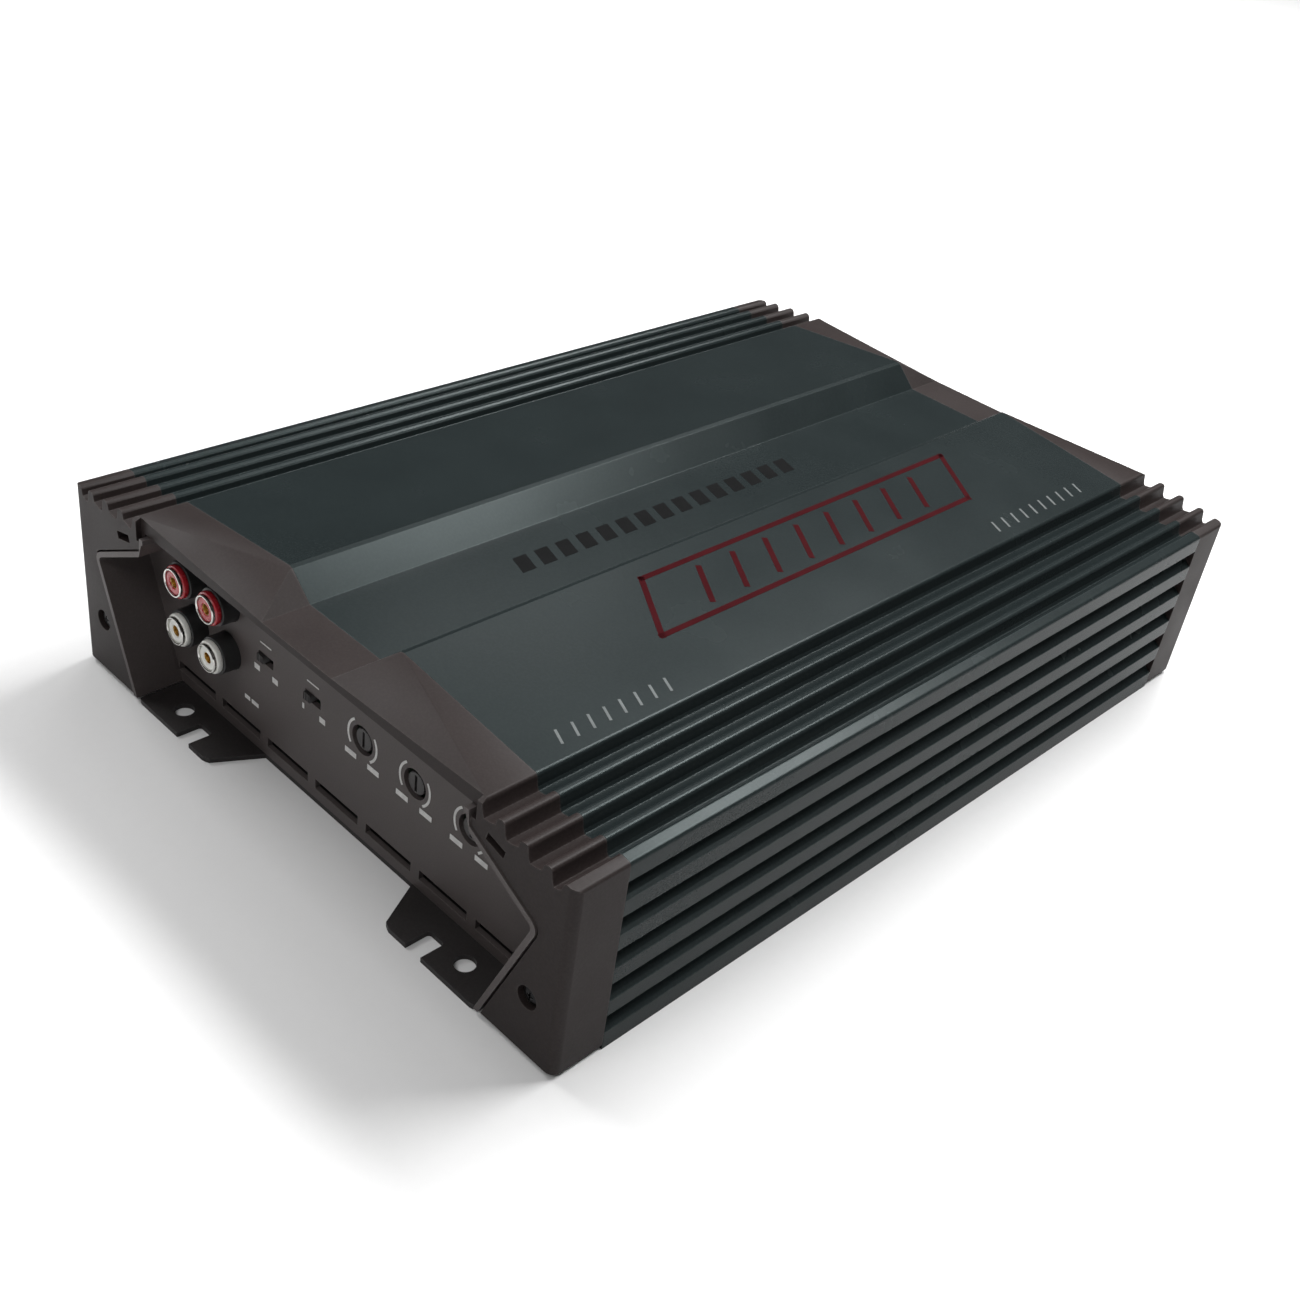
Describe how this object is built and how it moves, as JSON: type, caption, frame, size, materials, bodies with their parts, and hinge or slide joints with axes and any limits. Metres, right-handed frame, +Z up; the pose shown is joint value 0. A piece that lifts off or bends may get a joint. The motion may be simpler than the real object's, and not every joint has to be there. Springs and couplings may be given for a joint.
{
  "type": "car amplifier",
  "caption": "Finned aluminium car audio amplifier with moulded end caps, recessed terminal panels, mounting ears, phono inputs, level controls and screw terminals.",
  "frame": {"origin": "centre of the footprint, on the underside of the bottom plate", "axes": "+X to the right seen from the signal end, +Y from the signal end to the power end, +Z up out of the mounting surface"},
  "size_m": [0.2, 0.2798, 0.0659],
  "materials": {
    "body_anodised": "dark green-grey satin coat on extruded aluminium",
    "cap_finish": "satin brown-black coat on cast aluminium",
    "panel_paint": "satin brown-black painted sheet",
    "plate_paint": "matte black painted steel sheet",
    "black_screw": "black oxide steel",
    "zinc_screw": "bright zinc",
    "circuit_board": "green solder mask",
    "brass_parts": "turned brass",
    "black_plastic": "black moulded nylon",
    "knob_plastic": "black moulded plastic",
    "red_plastic": "red moulded plastic",
    "white_plastic": "white moulded plastic",
    "nickel_plate": "bright nickel plate",
    "blue_plastic": "blue moulded plastic",
    "switch_steel": "tinned steel can",
    "ferrite": "coated ferrite",
    "enamel_wire": "enamelled copper wire",
    "capacitor_sleeve": "shrink sleeve",
    "package_epoxy": "moulded epoxy",
    "silicone_pad": "soft silicone sheet",
    "plain_aluminium": "sawn aluminium bar",
    "fuse_plastic": "orange translucent plastic",
    "light_lens": "tinted lens"
  },
  "bodies": {
    "chassis": {"heatsink_body": "body_anodised", "front_end_cap": "cap_finish", "rear_end_cap": "cap_finish", "front_panel": "panel_paint", "rear_panel": "panel_paint", "bottom_plate": "plate_paint", "end_cap_screws": "black_screw", "panel_screws": "black_screw", "bottom_screws": "black_screw", "main_board": "circuit_board", "board_standoffs": "brass_parts", "board_screws": "zinc_screw", "control_board": "circuit_board", "board_header": "black_plastic", "jack_block": "black_plastic", "jack_collars": "black_plastic", "red_jack_rings": "red_plastic", "white_jack_rings": "white_plastic", "jack_shells": "nickel_plate", "pot_bodies": "blue_plastic", "switch_bodies": "switch_steel", "supply_core": "ferrite", "supply_winding": "enamel_wire", "choke_core": "ferrite", "choke_winding": "enamel_wire", "input_capacitors": "capacitor_sleeve", "rail_capacitors": "capacitor_sleeve", "supply_transistors": "package_epoxy", "output_transistors": "package_epoxy", "left_thermal_pad": "silicone_pad", "right_thermal_pad": "silicone_pad", "left_clamp_bar": "plain_aluminium", "right_clamp_bar": "plain_aluminium", "clamp_screws": "zinc_screw", "power_terminal": "black_plastic", "speaker_terminal": "black_plastic", "terminal_inserts": "brass_parts", "fuse_holder": "black_plastic", "status_lights": "light_lens"},
    "gain_knob_body": {"gain_knob": "knob_plastic"},
    "filter_knob_body": {"filter_knob": "knob_plastic"},
    "boost_knob_body": {"boost_knob": "knob_plastic"},
    "phase_slider_body": {"phase_slider": "knob_plastic"},
    "range_slider_body": {"range_slider": "knob_plastic"},
    "positive_screw_body": {"positive_screw": "nickel_plate"},
    "remote_screw_body": {"remote_screw": "nickel_plate"},
    "ground_screw_body": {"ground_screw": "nickel_plate"},
    "speaker_plus_screw_body": {"speaker_plus_screw": "nickel_plate"},
    "speaker_minus_screw_body": {"speaker_minus_screw": "nickel_plate"},
    "first_fuse_body": {"first_fuse": "fuse_plastic"},
    "second_fuse_body": {"second_fuse": "fuse_plastic"}
  },
  "joints": [
    {"name": "gain_turn", "type": "hinge", "parent": "chassis", "child": "gain_knob_body", "pos_m": [0.0102, -0.122, 0.033], "axis": [0, 1, 0], "range_deg": [-150, 150]},
    {"name": "filter_turn", "type": "hinge", "parent": "chassis", "child": "filter_knob_body", "pos_m": [0.03095, -0.122, 0.033], "axis": [0, 1, 0], "range_deg": [-150, 150]},
    {"name": "boost_turn", "type": "hinge", "parent": "chassis", "child": "boost_knob_body", "pos_m": [0.0517, -0.122, 0.033], "axis": [0, 1, 0], "range_deg": [-150, 150]},
    {"name": "phase_slide", "type": "slide", "parent": "chassis", "child": "phase_slider_body", "axis": [1, 0, 0], "range_m": [0, 0.0032]},
    {"name": "range_slide", "type": "slide", "parent": "chassis", "child": "range_slider_body", "axis": [1, 0, 0], "range_m": [0, 0.0032]},
    {"name": "positive_clamp_turn", "type": "hinge", "parent": "chassis", "child": "positive_screw_body", "pos_m": [0.062, 0.13, 0.03], "axis": [0, 0, 1], "range_deg": [0, 720]},
    {"name": "remote_clamp_turn", "type": "hinge", "parent": "chassis", "child": "remote_screw_body", "pos_m": [0.046, 0.13, 0.03], "axis": [0, 0, 1], "range_deg": [0, 720]},
    {"name": "ground_clamp_turn", "type": "hinge", "parent": "chassis", "child": "ground_screw_body", "pos_m": [0.03, 0.13, 0.03], "axis": [0, 0, 1], "range_deg": [0, 720]},
    {"name": "speaker_plus_clamp_turn", "type": "hinge", "parent": "chassis", "child": "speaker_plus_screw_body", "pos_m": [-0.046, 0.13, 0.03], "axis": [0, 0, 1], "range_deg": [0, 720]},
    {"name": "speaker_minus_clamp_turn", "type": "hinge", "parent": "chassis", "child": "speaker_minus_screw_body", "pos_m": [-0.062, 0.13, 0.03], "axis": [0, 0, 1], "range_deg": [0, 720]},
    {"name": "first_fuse_pull", "type": "slide", "parent": "chassis", "child": "first_fuse_body", "axis": [0, 1, 0], "range_m": [0, 0.014]},
    {"name": "second_fuse_pull", "type": "slide", "parent": "chassis", "child": "second_fuse_body", "axis": [0, 1, 0], "range_m": [0, 0.014]}
  ]
}
